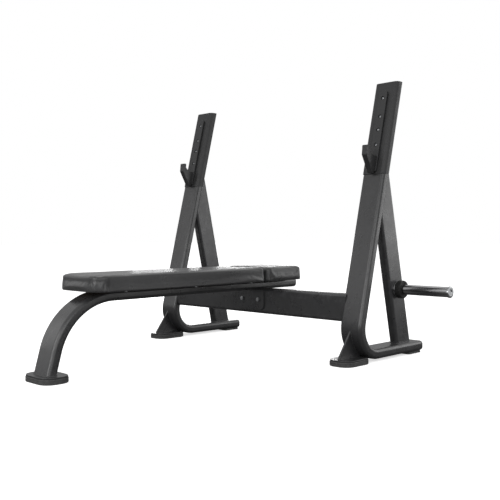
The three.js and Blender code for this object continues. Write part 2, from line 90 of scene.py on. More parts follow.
RACK_X = span("right_rail_cap")[2].x
CAP = span("right_rail_cap")
SPINE_CAP = span("spine_rear_cap")
COVER = span("right_rack_cover")
BEAM = span("crossbeam")
TUBE = {"width": CAP[3].x, "depth": CAP[3].z}
SPINE = {"width": SPINE_CAP[3].x, "depth": SPINE_CAP[3].z}
RAIL_LINE = CAP[2].z
RAIL_TOP = CAP[1].z
HEIGHT = COVER[1].z
FOOT_TOP = span("front_foot_plate")[1].z
SPINE_LINE = SPINE_CAP[2].z
CAP_DOME = 0.013
RAIL_END = CAP[1].y - CAP_DOME - GAP
SPINE_END = SPINE_CAP[1].y - CAP_DOME - GAP
BEND_Z = RAIL_LINE + RAIL_BEND
BEND_Y = UPRIGHT_Y + (RAIL_BEND + BEND_Z * math.sin(UPRIGHT_LEAN)) / math.cos(UPRIGHT_LEAN)
ONTO_UPRIGHT = Matrix.Translation((0, UPRIGHT_Y, 0)) @ Matrix.Rotation(-UPRIGHT_LEAN, 4, "X")
ONTO_BRACE = Matrix.Translation((0, BRACE_Y, 0)) @ Matrix.Rotation(BRACE_LEAN, 4, "X")
SIDES = {"left": -1, "right": 1}


# ---------------------------------------------------------------- materials
class Shader:
    """A Principled material with short ways to wire noise into it. Patterns follow the row frame."""

    def __init__(self, name, color, roughness, metallic=0.0, **sockets):
        self.material = bpy.data.materials.new(name)
        self.material.use_nodes = True
        self.tree = self.material.node_tree
        self.surface = self.tree.nodes["Principled BSDF"]
        self.place = self.tree.nodes.new("ShaderNodeTexCoord").outputs["Object"]
        self.set(self.surface, "Base Color", (*color, 1))
        self.set(self.surface, "Roughness", roughness)
        self.set(self.surface, "Metallic", metallic)
        for socket, value in sockets.items():
            self.set(self.surface, socket.replace("_", " "), value)
        self.height = None

    def set(self, node, socket, value):
        if isinstance(value, bpy.types.NodeSocket):
            self.tree.links.new(value, node.inputs[socket])
        else:
            node.inputs[socket].default_value = value

    def node(self, kind, sockets=None, **settings):
        made = self.tree.nodes.new("ShaderNode" + kind)
        for key, value in settings.items():
            setattr(made, key, value)
        for socket, value in (sockets or {}).items():
            self.set(made, socket, value)
        return made

    def stretched(self, x, y, z):
        return self.node("Mapping", {"Vector": self.place, "Scale": (x, y, z)}).outputs["Vector"]

    def noise(self, scale, detail=3.0, rough=0.5, place=None):
        sockets = {"Vector": place or self.place, "Scale": scale, "Detail": detail, "Roughness": rough}
        return self.node("TexNoise", sockets).outputs["Fac"]

    def voronoi(self, scale, feature="F1"):
        sockets = {"Vector": self.place, "Scale": scale}
        return self.node("TexVoronoi", sockets, feature=feature).outputs["Distance"]

    def spread(self, value, low, high, start=0.3, end=0.7):
        """Maps a noise value onto a range."""
        sockets = {"Value": value, "From Min": start, "From Max": end, "To Min": low, "To Max": high}
        return self.node("MapRange", sockets).outputs["Result"]

    def mix(self, factor, a, b):
        """Blends two colours."""
        made = self.node("Mix", data_type="RGBA")
        self.set(made, 0, factor)
        for index, value in ((6, a), (7, b)):
            self.set(made, index, value if isinstance(value, bpy.types.NodeSocket) else (*value, 1))
        return made.outputs[2]

    def times(self, a, b):
        return self.node("Math", {0: a, 1: b}, operation="MULTIPLY").outputs[0]

    def edges(self, low=0.52, high=0.62):
        """How far a point lies on a convex edge, from 0 to 1."""
        pointiness = self.node("NewGeometry").outputs["Pointiness"]
        return self.spread(pointiness, 0.0, 1.0, low, high)

    def color(self, value):
        self.set(self.surface, "Base Color", value)

    def rough(self, value):
        self.set(self.surface, "Roughness", value)

    def bump(self, height, distance, strength=1.0):
        made = self.node("Bump", {"Height": height, "Distance": distance, "Strength": strength})
        if self.height is not None:
            self.set(made, "Normal", self.height)
        self.height = made.outputs["Normal"]
        self.set(self.surface, "Normal", self.height)


def tint(color, factor):
    return tuple(channel * factor for channel in color)


def powder_coat(name, color, roughness):
    """Baked powder coat: a fine sandy texture, a cloudy gloss and edges rubbed lighter in patches."""
    shader = Shader(name, color, roughness, Specular_IOR_Level=0.7)
    cloud = shader.spread(shader.noise(6.0, 4.0), 0.0, 1.0)
    grain = shader.spread(shader.noise(650.0, 2.0, 0.6), 0.0, 1.0)
    base = shader.mix(cloud, tint(color, 0.88), tint(color, 1.14))
    base = shader.mix(shader.times(grain, 0.55), base, tint(color, 1.9))
    scuffs = shader.spread(shader.noise(38.0, 6.0, 0.7), 0.0, 1.0, 0.45, 0.75)
    worn = shader.times(shader.edges(), scuffs)
    shader.color(shader.mix(worn, base, tint(color, 3.2)))
    shader.rough(shader.spread(shader.noise(22.0, 5.0, 0.6), roughness - 0.05, roughness + 0.07))
    shader.bump(shader.noise(650.0, 2.0, 0.6), 0.00035, 0.55)
    shader.bump(shader.noise(140.0, 2.0), 0.0004, 0.25)
    return shader.material


def moulded(name, color, roughness, grain=900.0, depth=0.00012):
    """Injection-moulded plastic with a spark-eroded texture."""
    shader = Shader(name, color, roughness)
    cloud = shader.spread(shader.noise(9.0, 4.0), 0.0, 1.0)
    base = shader.mix(cloud, tint(color, 0.9), tint(color, 1.12))
    rubbed = shader.spread(shader.noise(55.0, 6.0, 0.7), 0.0, 1.0, 0.5, 0.8)
    shader.color(shader.mix(shader.times(shader.edges(), rubbed), base, tint(color, 2.4)))
    shader.rough(shader.spread(shader.noise(30.0, 4.0), roughness - 0.06, roughness + 0.06))
    shader.bump(shader.noise(grain, 2.0, 0.6), depth, 0.5)
    return shader.material


def vinyl(name, color):
    """Upholstery vinyl: a pebbled grain with painted shade in its hollows, a finer pore grain and a slightly
    polished wear.
    """
    shader = Shader(name, color, 0.33, Sheen_Weight=0.08, Coat_Weight=0.08, Coat_Roughness=0.35)
    pebbles = shader.voronoi(520.0, "SMOOTH_F1")
    cloud = shader.spread(shader.noise(5.0, 4.0), 0.0, 1.0)
    base = shader.mix(cloud, tint(color, 0.92), tint(color, 1.1))
    # Painted shade: the hollows between the pebbles are drawn darker.
    hollow_shade = shader.spread(pebbles, 0.0, 0.5, 0.35, 0.75)
    shader.color(shader.mix(hollow_shade, base, tint(color, 0.55)))
    shader.rough(shader.spread(shader.noise(12.0, 5.0, 0.6), 0.26, 0.36))
    shader.bump(shader.node("Math", {0: 1.0, 1: pebbles}, operation="SUBTRACT").outputs[0], 0.0005, 0.4)
    shader.bump(shader.noise(1600.0, 2.0), 0.0001, 0.35)
    return shader.material


def rubber(name, color):
    """Moulded rubber: matt, with dust in the pits and a paler bloom where it rubs."""
    shader = Shader(name, color, 0.72)
    dust = shader.spread(shader.noise(70.0, 6.0, 0.65), 0.0, 1.0, 0.42, 0.72)
    base = shader.mix(dust, color, tint(color, 1.55))
    shader.color(shader.mix(shader.times(shader.edges(), 0.5), base, tint(color, 2.2)))
    shader.rough(shader.spread(shader.noise(45.0, 4.0), 0.62, 0.82))
    shader.bump(shader.noise(480.0, 3.0, 0.6), 0.0003, 0.5)
    return shader.material


def bare_metal(name, color, roughness, grain, streaks=(1.0, 1.0, 1.0), shade=0.85):
    """Plated or polished steel with fine drawn scratches and a faint haze."""
    shader = Shader(name, color, roughness, 1.0)
    drawn = shader.noise(grain, 4.0, 0.65, shader.stretched(*streaks))
    haze = shader.spread(shader.noise(24.0, 5.0), 0.0, 1.0)
    base = shader.mix(haze, tint(color, shade), color)
    shader.color(shader.mix(shader.spread(drawn, 0.0, 0.35), base, tint(color, 0.7)))
    shader.rough(shader.spread(drawn, roughness * 0.7, roughness * 1.4))
    shader.bump(drawn, 0.00006, 0.4)
    return shader.material


def plywood(name, color):
    """Birch plywood: a stretched grain on the faces and thin dark glue lines between the plies."""
    shader = Shader(name, color, 0.68)
    grain = shader.noise(9.0, 6.0, 0.7, shader.stretched(14.0, 1.0, 1.0))
    figure = shader.mix(shader.spread(grain, 0.0, 1.0), tint(color, 0.72), tint(color, 1.15))
    plies = shader.node("TexWave", {"Vector": shader.place, "Scale": 62.0, "Distortion": 0.2},
                        wave_type="BANDS", bands_direction="Z").outputs["Fac"]
    shader.color(shader.mix(shader.spread(plies, 0.0, 0.5, 0.6, 1.0), figure, tint(color, 0.45)))
    shader.rough(shader.spread(grain, 0.6, 0.8))
    shader.bump(grain, 0.0003, 0.4)
    return shader.material


MATERIALS = {
    "frame": powder_coat("frame_powder_coat", (0.022, 0.022, 0.023), 0.29),
    "rack_cover": moulded("rack_cover_plastic", (0.026, 0.026, 0.027), 0.5),
    "bar_catch": moulded("bar_catch_coat", (0.026, 0.026, 0.027), 0.42, 700.0, 0.0002),
    "pad_vinyl": vinyl("pad_vinyl", (0.028, 0.028, 0.029)),
    "pad_board": plywood("pad_plywood", (0.36, 0.25, 0.15)),
    "rubber": rubber("foot_rubber", (0.045, 0.045, 0.045)),
    "end_cap_plastic": moulded("end_cap_plastic", (0.026, 0.026, 0.027), 0.48),
    "horn_steel": bare_metal("horn_steel", (0.48, 0.48, 0.49), 0.16, 60.0, (1.0, 14.0, 14.0)),
    "horn_cap_chrome": bare_metal("horn_chrome", (0.46, 0.47, 0.48), 0.09, 400.0),
    "zinc_fastener": bare_metal("zinc_plate", (0.47, 0.48, 0.49), 0.27, 500.0),
}
BUMPER_RUBBER = rubber("bumper_rubber", (0.007, 0.007, 0.007))


# ---------------------------------------------------------------- mesh tools
def mesh_object(name, vertices, faces):
    """A new object whose faces point outwards."""
    mesh = bpy.data.meshes.new(name)
    mesh.from_pydata([tuple(v) for v in vertices], [], faces)
    work = bmesh.new()
    work.from_mesh(mesh)
    bmesh.ops.remove_doubles(work, verts=work.verts, dist=1e-6)
    bmesh.ops.recalc_face_normals(work, faces=work.faces)
    work.to_mesh(mesh)
    work.free()
    made = bpy.data.objects.new(name, mesh)
    bpy.context.scene.collection.objects.link(made)
    return made


def applied(obj):
    """Turns an object's modifiers into its mesh."""
    graph = bpy.context.evaluated_depsgraph_get()
    mesh = bpy.data.meshes.new_from_object(obj.evaluated_get(graph))
    obj.modifiers.clear()
    obj.data = mesh
    return obj


def softened(obj, width, segments=3, angle=28):
    """Rounds the edges that are sharper than the angle, in degrees."""
    bevel = obj.modifiers.new("edges", "BEVEL")
    bevel.width = width
    bevel.segments = segments
    bevel.limit_method = "ANGLE"
    bevel.angle_limit = math.radians(angle)
    return applied(obj)


def combined(obj, others, operation="DIFFERENCE"):
    """Cuts the others out of obj, or joins them to it."""
    for other in others:
        change = obj.modifiers.new("cut", "BOOLEAN")
        change.object = other
        change.operation = operation
        change.solver = "MANIFOLD"
        applied(obj)
        bpy.data.objects.remove(other)
    return obj


def moved(obj, matrix):
    obj.data.transform(matrix)
    return obj


def copied(obj, name, matrix=Matrix.Identity(4)):
    made = bpy.data.objects.new(name, obj.data.copy())
    bpy.context.scene.collection.objects.link(made)
    return moved(made, matrix)


def rounded_rectangle(width, depth, low_radius, high_radius=None, steps=8):
    """Points round a rectangle; its corners at -depth may have another radius than those at +depth."""
    high_radius = low_radius if high_radius is None else high_radius
    corners = (
        (1, -1, low_radius, -90), (1, 1, high_radius, 0),
        (-1, 1, high_radius, 90), (-1, -1, low_radius, 180))
    points = []
    for across, along, radius, start in corners:
        centre = Vector((across * (width / 2 - radius), along * (depth / 2 - radius)))
        for i in range(steps + 1):
            angle = math.radians(start + 90 * i / steps)
            points.append(centre + radius * Vector((math.cos(angle), math.sin(angle))))
    return points


def tube_section(tube, offset=0.0, corner=TUBE_CORNER, steps=8):
    width, depth = tube["width"] + 2 * offset, tube["depth"] + 2 * offset
    return rounded_rectangle(width, depth, corner + offset, steps=steps)


def loft(name, rings, loop=False):
    """Joins rings of points; the two ends are closed, unless the rings form a loop."""
    count = len(rings[0])
    last = len(rings) if loop else len(rings) - 1
    faces = []
    for r in range(last):
        a, b = r * count, (r + 1) % len(rings) * count
        faces += [(a + i, a + (i + 1) % count, b + (i + 1) % count, b + i) for i in range(count)]
    if not loop:
        faces.append(tuple(reversed(range(count))))
        faces.append(tuple(range((len(rings) - 1) * count, len(rings) * count)))
    return mesh_object(name, [point for ring in rings for point in ring], faces)


def prism(name, outline, low, high):
    """An outline in plan, raised between two heights."""
    return loft(name, [[Vector((p.x, p.y, z)) for p in outline] for z in (low, high)])


def side_plate(name, outline, thickness):
    """An outline drawn as (y, z), given a thickness along X about the plane x = 0."""
    return loft(name, [[Vector((x, p.x, p.y)) for p in outline] for x in (-thickness / 2, thickness / 2)])


def block(name, low, high):
    corners = ((low[0], low[1]), (high[0], low[1]), (high[0], high[1]), (low[0], high[1]))
    return prism(name, [Vector(corner) for corner in corners], low[2], high[2])


def lathe(name, profile, steps=64):
    """Turns (radius, distance) points round +Y; the profile ends on the axis or closes on itself."""
    rings = []
    for i in range(steps):
        angle = 2 * math.pi * i / steps
        rings.append([Vector((r * math.cos(angle), d, r * math.sin(angle))) for r, d in profile])
    count = len(profile)
    faces = []
    for i in range(steps):
        a, b = i * count, (i + 1) % steps * count
        for j in range(count - 1):
            corners = [a + j, a + j + 1, b + j + 1, b + j]
            if profile[j][0] == 0 and profile[j + 1][0] == 0:
                continue
            if profile[j][0] == 0:
                corners = [a + j, a + j + 1, b + j + 1]
            elif profile[j + 1][0] == 0:
                corners = [a + j, a + j + 1, b + j]
            faces.append(tuple(corners))
    return mesh_object(name, [point for ring in rings for point in ring], faces)


def rod(name, radius, start, end, steps=48):
    return lathe(name, [(0, start), (radius, start), (radius, end), (0, end)], steps)


def hexagon(name, radius, start, end):
    return rod(name, radius, start, end, 6)


def arc(y, z, radius, start, end, steps=28):
    """Stations round a bend: each is a point and a direction in the plane x = 0."""
    stations = []
    for i in range(steps + 1):
        angle = start + (end - start) * i / steps
        c, s = math.cos(angle), math.sin(angle)
        stations.append((Vector((0, y + radius * c, z + radius * s)), Vector((0, -s, c))))
    return stations


def sweep(name, section, stations, low=None, high=None):
    """A section carried along stations. The end at low or high is cut level at that height."""
    rings = []
    for point, along in stations:
        across = Vector((0, along.z, -along.y))
        rings.append([point + Vector((p.x, 0, 0)) + across * p.y for p in section])
    for index, height in ((0, high), (-1, low)):
        if height is not None:
            along = stations[index][1]
            rings[index] = [p + along * ((height - p.z) / along.z) for p in rings[index]]
    return loft(name, rings)


def bead(name, path, radius=0.0028, loop=False, pitch=0.0032):
    """A weld bead along a path, with the ripples that a torch leaves."""
    count = len(path)
    rings = []
    travelled = 0.0
    for i, point in enumerate(path):
        before = path[i - 1] if loop or i else path[0]
        after = path[(i + 1) % count] if loop or i + 1 < count else path[-1]
        along = (after - before).normalized()
        side = along.orthogonal() if not rings else (side - along * side.dot(along))
        side = side.normalized()
        up = along.cross(side)
        travelled += (point - before).length
        ends = 1.0 if loop else min(1.0, 0.35 + min(i, count - 1 - i) / 3)
        r = radius * ends * (0.92 + 0.12 * math.sin(2 * math.pi * travelled / pitch))
        angles = [2 * math.pi * k / 10 for k in range(10)]
        rings.append([point + r * (math.cos(a) * side + math.sin(a) * up) for a in angles])
    return loft(name, rings, loop)


def evenly(path, step, loop=False):
    """The same path with a point every step."""
    points = path + [path[0]] if loop else path
    result = []
    left = 0.0
    for a, b in zip(points, points[1:]):
        length = (b - a).length
        while left < length:
            result.append(a.lerp(b, left / length))
            left += step
        left -= length
    return result


def put(obj, slot, *nodes, angle=38, material=None):
    """Finishes a rigid piece: smooth shading, its material, and the CAD nodes that it stands for."""
    obj.data.shade_smooth()
    obj.data.set_sharp_from_angle(angle=math.radians(angle))
    weights = obj.modifiers.new("normals", "WEIGHTED_NORMAL")
    weights.keep_sharp = True
    applied(obj)
    obj.data.materials.clear()
    obj.data.materials.append(material or MATERIALS[slot])
    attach(obj, "root")
    if nodes:
        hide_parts(*nodes)
    return obj


def put_both(obj, stem, slot, *nodes):
    """Puts a piece that is drawn about x = 0 on both racks; its CAD nodes are given without their side."""
    for side, sign in SIDES.items():
        piece = copied(obj, f"{side}_{stem}", Matrix.Translation((sign * RACK_X, 0, 0)))
        put(piece, slot, *[f"{side}_{node}" for node in nodes])
    bpy.data.objects.remove(obj)


# ---------------------------------------------------------------- bent tubes of the frame
def upright_y(z):
    return UPRIGHT_Y + z * math.tan(UPRIGHT_LEAN)


def brace_y(z):
    return BRACE_Y - z * math.tan(BRACE_LEAN)


def upright_stations():
    bend = arc(BEND_Y, BEND_Z, RAIL_BEND, math.pi - UPRIGHT_LEAN, math.pi * 1.5)
    top = (Vector((0, upright_y(HEIGHT), HEIGHT)), bend[0][1])
    return [top, *bend, (Vector((0, RAIL_END, RAIL_LINE)), Vector((0, 1, 0)))]


def spine_stations():
    bend = arc(LEG_BEND_Y, SPINE_LINE - LEG_BEND, LEG_BEND, math.pi / 2, math.pi - LEG_LEAN, 36)
    point, along = bend[-1]
    foot = point + along * (point.z / math.cos(LEG_LEAN))
    return [(Vector((0, SPINE_END, SPINE_LINE)), Vector((0, -1, 0))), *bend, (foot, along)]


def upright_solid(name, offset=0.0):
    return sweep(name, tube_section(TUBE, offset), upright_stations(), high=HEIGHT - COVER_ROOF - GAP)


def beam_solid(name, offset=0.0):
    section = rounded_rectangle(BEAM[3].y + 2 * offset, BEAM[3].z + 2 * offset, BEAM_CORNER + offset)
    reach = BEAM[3].x / 2
    rings = [[Vector((x, BEAM[2].y + p.x, BEAM[2].z + p.y)) for p in section] for x in (-reach, reach)]
    return loft(name, rings)


def make_frame_tubes():
    put_both(upright_solid("upright"), "upright_frame_tube", "frame", "upright_tube")
    turned = {"width": TUBE["depth"], "depth": TUBE["width"]}
    axis = Vector((0, -math.sin(BRACE_LEAN), math.cos(BRACE_LEAN)))
    start = Vector((0, brace_y(RAIL_TOP), RAIL_TOP))
    section = tube_section(turned)
    brace = sweep("brace", section, [(start + axis, axis), (start, axis)], low=RAIL_TOP + GAP)
    keep_off = block("keep_off", (-FAR, -FAR, -FAR), (FAR, TUBE["depth"] / 2 + GAP, FAR))
    combined(brace, [moved(keep_off, ONTO_UPRIGHT)])
    put_both(brace, "rear_brace_tube", "frame", "rear_brace")
    spine = sweep("bench_spine", tube_section(SPINE), spine_stations(), low=FOOT_TOP + GAP)
    combined(spine, [beam_solid("beam_space", GAP)])
    put(spine, "frame", "spine_tube")
    beam = beam_solid("cross_member")
    for sign in SIDES.values():
        upright = moved(upright_solid("upright_space", GAP), Matrix.Translation((sign * RACK_X, 0, 0)))
        combined(beam, [upright])
    put(beam, "frame", "crossbeam")


# ---------------------------------------------------------------- caps, feet and gussets
def dome_cap(name, tube, middle, end):
    """A plastic cap: a rim on the tube's mouth and a domed face with a quarter-round edge."""
    rim = 0.002
    start = end - CAP_DOME
    reach = CAP_DOME - rim
    layers = [(0.0, start), (0.0, start + rim)]
    for i in range(1, 13):
        angle = math.pi / 2 * i / 12
        layers.append((reach * (1 - math.cos(angle)), start + rim + reach * math.sin(angle)))
    rings = []
    for inset, y in layers:
        section = tube_section(tube, -inset)
        rings.append([Vector((middle.x + p.x, y, middle.z + p.y)) for p in section])
    return loft(name, rings)


def layered(name, width, length, corner, layers, centre, steps=12):
    """A plan outline that steps in by each layer's inset at its height."""
    rings = []
    for inset, z in layers:
        outline = rounded_rectangle(width - 2 * inset, length - 2 * inset, corner - inset, steps=steps)
        rings.append([Vector((centre.x + p.x, centre.y + p.y, z)) for p in outline])
    return loft(name, rings)


def rounded_layers(low, high, radius, steps=5):
    """Insets and heights up a side whose bottom and top edges are rounded."""
    layers = []
    for i in range(steps + 1):
        angle = math.pi / 2 * i / steps
        layers.append((radius * (1 - math.sin(angle)), low + radius * (1 - math.cos(angle))))
    return layers + [(inset, high - (z - low)) for inset, z in reversed(layers)]


def grooves(node, reach, depth, margin):
    """Cutters for the grooves across a foot's underside; each is twice as wide as it is deep."""
    low, high, middle, size = span(node)
    cutters = []
    for k in range(-reach, reach + 1):
        y = middle.y + k * size.y / (2 * reach + 3)
        near, far = (low.x + margin, y - depth, -0.01), (high.x - margin, y + depth, depth)
        cutters.append(block("groove", near, far))
    return cutters


def make_feet():
    for name in ("front", "left", "right"):
        low, high, middle, size = span(f"{name}_rubber_foot")
        sole = rounded_layers(low.z, high.z, 0.003)
        half = len(sole) // 2
        groove = [(0.0, 0.0118), (0.0011, 0.0124), (0.0011, 0.0136), (0.0, 0.0142)]
        sole = sole[:half] + groove + sole[half:]
        foot = layered(f"{name}_foot_sole", size.x, size.y, FOOT_CORNER, sole, middle)
        combined(foot, grooves(f"{name}_rubber_foot", 3, 0.0015, 0.02))
        put(foot, "rubber", f"{name}_rubber_foot")
    for name in ("front", "left", "right"):
        middle, size = span(f"{name}_rubber_foot")[2:]
        layers = rounded_layers(FOOT_TOP - FOOT_PLATE_THICKNESS + GAP, FOOT_TOP, 0.0012, 3)
        outer = size - 2 * Vector((FOOT_PLATE_INSET, FOOT_PLATE_INSET, 0))
        corner = FOOT_CORNER - FOOT_PLATE_INSET
        plate = layered(f"{name}_foot_flange", outer.x, outer.y, corner, layers, middle)
        if name in SIDES:
            space = moved(upright_solid("space", GAP), Matrix.Translation((SIDES[name] * RACK_X, 0, 0)))
            combined(plate, [space])
        put(plate, "frame", f"{name}_foot_plate")
    for name in SIDES:
        low, high, middle, size = span(f"{name}_rear_foot")
        layers = rounded_layers(low.z, high.z, 0.0018)
        pad = layered(f"{name}_rear_foot_pad", size.x, size.y, REAR_FOOT_CORNER, layers, middle)
        combined(pad, grooves(f"{name}_rear_foot", 4, 0.0012, 0.01))
        put(pad, "rubber", f"{name}_rear_foot")


def make_caps():
    for name in SIDES:
        middle, end = span(f"{name}_rail_cap")[2], span(f"{name}_rail_cap")[1].y
        put(dome_cap(f"{name}_rail_end_cap", TUBE, middle, end), "end_cap_plastic", f"{name}_rail_cap")
    put(dome_cap("spine_end_cap", SPINE, SPINE_CAP[2], SPINE_CAP[1].y), "end_cap_plastic", "spine_rear_cap")


def gusset_path(outer, low, high, steps=40):
    """Points down the outside of the upright's bend, as (y, z)."""
    start = math.pi - math.asin((high - BEND_Z) / outer)
    end = math.pi + math.asin((BEND_Z - low) / outer)
    angles = [start + (end - start) * i / steps for i in range(steps + 1)]
    return [Vector((BEND_Y + outer * math.cos(a), BEND_Z + outer * math.sin(a))) for a in angles]


def make_gussets():
    low, high, _, size = span("right_gusset")
    outer = RAIL_BEND + TUBE["depth"] / 2 + GAP
    base = FOOT_TOP + GAP
    outline = [Vector((low.y, base)), Vector((low.y, base + 0.006)), *gusset_path(outer, base, high.z)]
    fin = softened(side_plate("fin", outline, size.x), 0.0009, 2, 40)
    put_both(fin, "gusset_fin", "frame", "gusset")
    welds = []
    for sign in (-1, 1):
        x = sign * size.x / 2
        curve = [Vector((x, p.x, p.y)) for p in gusset_path(outer - 0.0005, base + 0.004, high.z - 0.006)]
        floor = [Vector((x, low.y + 0.006, FOOT_TOP)), Vector((x, high.y - 0.012, FOOT_TOP))]
        for name, path in (("curve_weld", curve), ("floor_weld", floor)):
            welds.append(bead(name, evenly(path, WELD_STEP), 0.0024))
    put_both(combined(welds[0], welds[1:], "UNION"), "gusset_weld", "frame")


# ---------------------------------------------------------------- racks
def make_rack_covers():
    outside = GAP + COVER_WALL
    axis = ONTO_UPRIGHT.to_3x3() @ Vector((0, 0, 1))
    top = Vector((0, upright_y(HEIGHT), HEIGHT))
    bottom = COVER[0].z
    stations = [(top, axis), (top - axis * 0.5, axis)]

    def wrap(name, offset, low, high):
        return sweep(name, tube_section(TUBE, offset), stations, low=low, high=high)

    cover = wrap("cover", outside, bottom, HEIGHT)
    cavity = wrap("cavity", GAP, bottom - 0.05, HEIGHT - COVER_ROOF)
    half = TUBE["depth"] / 2 + 0.0015
    slot = moved(block("slot", (-half, 0, 0), (half, FAR, FAR)), ONTO_UPRIGHT)
    combined(slot, [block("over", (-FAR, -FAR, COVER_SLOT_TOP), (FAR, 2 * FAR, 2 * FAR))])
    combined(cover, [cavity, slot])
    put_both(softened(cover, 0.0013), "rack_cover_shell", "rack_cover", "rack_cover")


def curve_through(start, control, end, steps=10):
    """Points on a quadratic curve, without its start."""
    points = []
    for i in range(1, steps + 1):
        t = i / steps
        points.append(start * (1 - t) ** 2 + control * (2 * t * (1 - t)) + end * t ** 2)
    return points


def hook_outline(bottom):
    """The hook from the side, as (y, z): an arm that rises forward to a lip leaning slightly rearwards."""
    face = -(TUBE["depth"] / 2 + GAP + COVER_WALL + 0.006) / math.cos(UPRIGHT_LEAN)
    lip_foot, lip_tip, lip, chin, top, seat, fillet = 0.413, 0.417, 0.020, 0.875, 0.9165, 0.874, 0.006

    def root(z):
        return upright_y(z) + face

    points = [Vector((root(bottom), bottom)), Vector((root(bottom) - 0.012, bottom))]
    points += [Vector((lip_foot, chin)), Vector((lip_tip, top - fillet))]
    points += curve_through(points[-1], Vector((lip_tip, top)), Vector((lip_tip + fillet, top)))
    points.append(Vector((lip_tip + lip - fillet, top)))
    points += curve_through(points[-1], Vector((lip_tip + lip, top)), Vector((lip_tip + lip, top - fillet)))
    points.append(Vector((lip_foot + lip + 0.002, top - 0.018)))
    throat = Vector((lip_foot + 2 * lip - 0.004, seat))
    points += curve_through(points[-1], throat, Vector((root(seat) - 0.002, seat)))
    return points + [Vector((root(seat), seat))]


def make_bar_catches():
    bottom, width = span("right_bar_catch")[0].z, span("right_bar_catch")[3].x
    back = -(TUBE["depth"] / 2 + COVER_WALL + 2 * GAP)
    ends = [bottom / math.cos(UPRIGHT_LEAN), CATCH_TOP / math.cos(UPRIGHT_LEAN)]
    outline = rounded_rectangle(width, ends[1] - ends[0], 0.004, 0.016, steps=10)
    stand_up = Matrix.Translation((0, back, sum(ends) / 2)) @ Matrix.Rotation(math.pi / 2, 4, "X")
    strip = softened(prism("strip", outline, 0, CATCH_PROUD), 0.0016)
    moved(strip, ONTO_UPRIGHT @ stand_up)
    hook = softened(side_plate("hook", hook_outline(bottom), HOOK_WIDTH), 0.0018)
    combined(strip, [hook], "UNION")
    bores = []
    for k in range(1, 5):
        seat = ONTO_UPRIGHT @ Matrix.Translation((0, 0, screw_height(k)))
        for radius, end in ((0.008, back - CATCH_PROUD + CATCH_SINK), (0.0044, back + 0.01)):
            bores.append(moved(rod("bore", radius, back - 0.08, end), seat))
    combined(strip, bores)
    put_both(strip, "bar_catch_arm", "bar_catch", "bar_catch")


def screw_height(k):
    """How far up the upright a catch screw's axis lies, measured along the tube."""
    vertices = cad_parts[f"right_catch_bolt_{k}"].data.vertices
    local = [ONTO_UPRIGHT.inverted() @ (v.co - Vector((RACK_X, 0, 0))) for v in vertices]
    return (min(p.z for p in local) + max(p.z for p in local)) / 2


def make_catch_bolts():
    head, depth, shank = 0.0062, 0.0045, 0.004
    seat = -(TUBE["depth"] / 2 + COVER_WALL + 2 * GAP) - CATCH_PROUD + CATCH_SINK - depth - GAP
    dome = [(0, 0), (head * 0.55, 0.0001), (head * 0.78, 0.0007), (head * 0.93, 0.0019),
            (head, 0.0034), (head, depth)]
    end = depth + CATCH_SHANK_LENGTH
    profile = [*dome, (shank, depth), (shank, end), (0, end)]
    screw = lathe("screw", profile)
    combined(screw, [hexagon("socket", head * 0.5, -0.001, depth * 0.7)])
    for k in range(1, 5):
        at = ONTO_UPRIGHT @ Matrix.Translation((0, seat, screw_height(k)))
        put_both(copied(screw, f"screw_{k}", at), f"catch_screw_{k}", "zinc_fastener", f"catch_bolt_{k}")
    bpy.data.objects.remove(screw)


# ---------------------------------------------------------------- plate storage horns
def make_horns():
    horn_z = span("right_weight_horn")[2].z
    start, end = span("right_weight_horn")[0].x, span("right_horn_end_cap")[1].x
    mouth = span("right_weight_horn")[1].x
    bore, flange, depth = HORN_RADIUS - HORN_WALL, 0.038, 0.008
    shaft = lathe("shaft", [
        (0, start), (flange, start), (flange, start + depth), (HORN_RADIUS, start + depth),
        (HORN_RADIUS, mouth), (bore, mouth), (bore, start + depth), (0, start + depth)], 96)
    softened(shaft, 0.0008)
    low, high, _, size = span("right_horn_bumper")
    outer, inner = size.z / 2, HORN_RADIUS + GAP
    face = outer - 0.005
    lip = [(outer - 0.003, low.x), (outer - 0.0009, low.x + 0.0009), (outer, low.x + 0.003)]
    grip = [(outer, low.x + 0.009), (outer - 0.0014, low.x + 0.0105), (outer - 0.0014, low.x + 0.0125),
            (outer, low.x + 0.014), (outer, high.x - 0.005)]
    nose = [(outer - 0.0015, high.x - 0.0015), (face, high.x), (face - 0.004, high.x),
            (face - 0.0052, high.x - 0.0014), (inner + 0.0055, high.x - 0.0014), (inner + 0.004, high.x),
            (inner, high.x)]
    bumper = lathe("bumper", [(inner, low.x), *lip, *grip, *nose, (inner, low.x)], 96)
    cap_radius = span("right_horn_end_cap")[3].z / 2
    plug = bore - 0.0004
    cap = lathe("cap", [
        (0, mouth - 0.02), (plug, mouth - 0.02), (plug, mouth + GAP), (cap_radius, mouth + GAP),
        (cap_radius, end - 0.003), (cap_radius - 0.0009, end - 0.0009), (cap_radius - 0.003, end),
        (0.0125, end), (0.0115, end - 0.0006), (0.009, end - 0.0034), (0.0, end - 0.0038)], 96)
    parts = (("shaft", shaft, "horn_steel", "weight_horn"), ("bumper", bumper, "rubber", "horn_bumper"),
             ("cap_disc", cap, "horn_cap_chrome", "horn_end_cap"))
    for side, sign in SIDES.items():
        turn = Matrix.Translation((0, brace_y(horn_z), horn_z)) @ Matrix.Rotation(-sign * math.pi / 2, 4, "Z")
        for stem, part, slot, node in parts:
            material = BUMPER_RUBBER if slot == "rubber" else None
            put(copied(part, f"{side}_horn_{stem}", turn), slot, f"{side}_{node}", material=material)
    for _, part, _, _ in parts:
        bpy.data.objects.remove(part)


